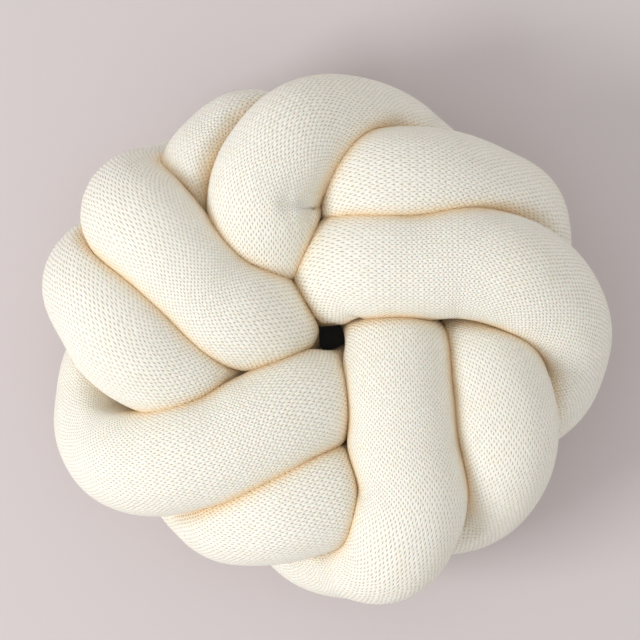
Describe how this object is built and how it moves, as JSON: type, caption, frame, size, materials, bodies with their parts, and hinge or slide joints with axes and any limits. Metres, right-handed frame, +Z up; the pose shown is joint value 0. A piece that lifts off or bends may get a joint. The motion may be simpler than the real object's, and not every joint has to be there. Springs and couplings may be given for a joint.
{
  "type": "knot cushion",
  "caption": "Flat round floor or seat cushion: one long stuffed tube of cream knitted cloth, closed on itself and tied in a pinwheel knot with a small hole in the middle.",
  "frame": {"origin": "middle of the flat back that the cushion rests on", "axes": "+Z up out of the round face, the shortest extent; +X and +Y across the face"},
  "size_m": [0.3966, 0.3692, 0.1648],
  "materials": {
    "knit": "matt off-white plain knit, slightly fuzzy"
  },
  "bodies": {
    "root": {"knotted_tube": "knit"}
  },
  "joints": []
}
